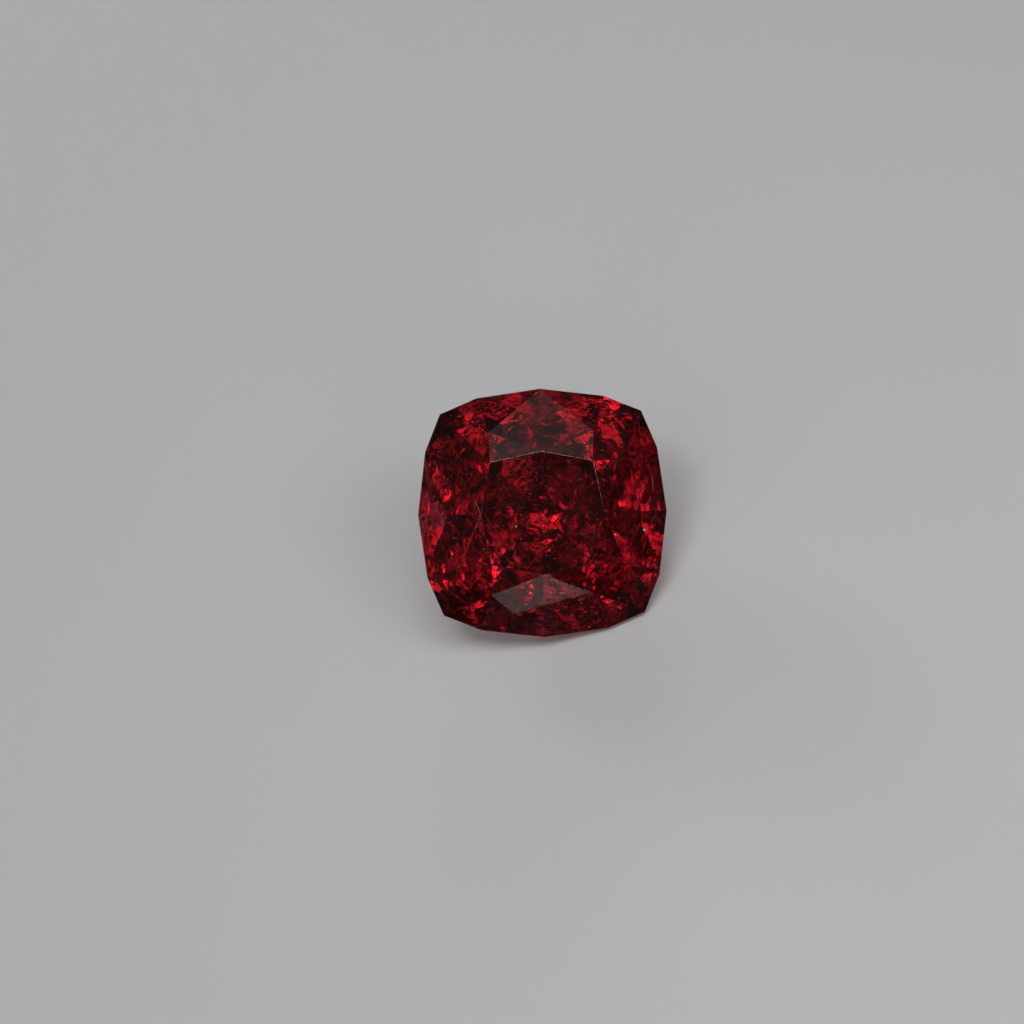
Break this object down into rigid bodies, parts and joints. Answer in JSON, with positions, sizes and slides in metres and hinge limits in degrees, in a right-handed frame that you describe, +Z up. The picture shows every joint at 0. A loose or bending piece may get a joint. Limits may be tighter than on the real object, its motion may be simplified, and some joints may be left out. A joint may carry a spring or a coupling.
{
  "type": "cushion-cut garnet gemstone",
  "caption": "Loose square-cushion garnet, deep red and included, with a flat table, faceted crown, thin girdle and pointed faceted pavilion; lies on a pavilion facet.",
  "frame": {"origin": "centre of the box's bottom, on the surface that the stone lies on", "axes": "+Z up, away from that surface; the table faces up and towards -Y"},
  "size_m": [0.0064, 0.0048, 0.0043],
  "materials": {
    "garnet": "polished see-through deep red with dark and clear inclusions"
  },
  "bodies": {
    "root": {"garnet": "garnet"}
  },
  "joints": []
}
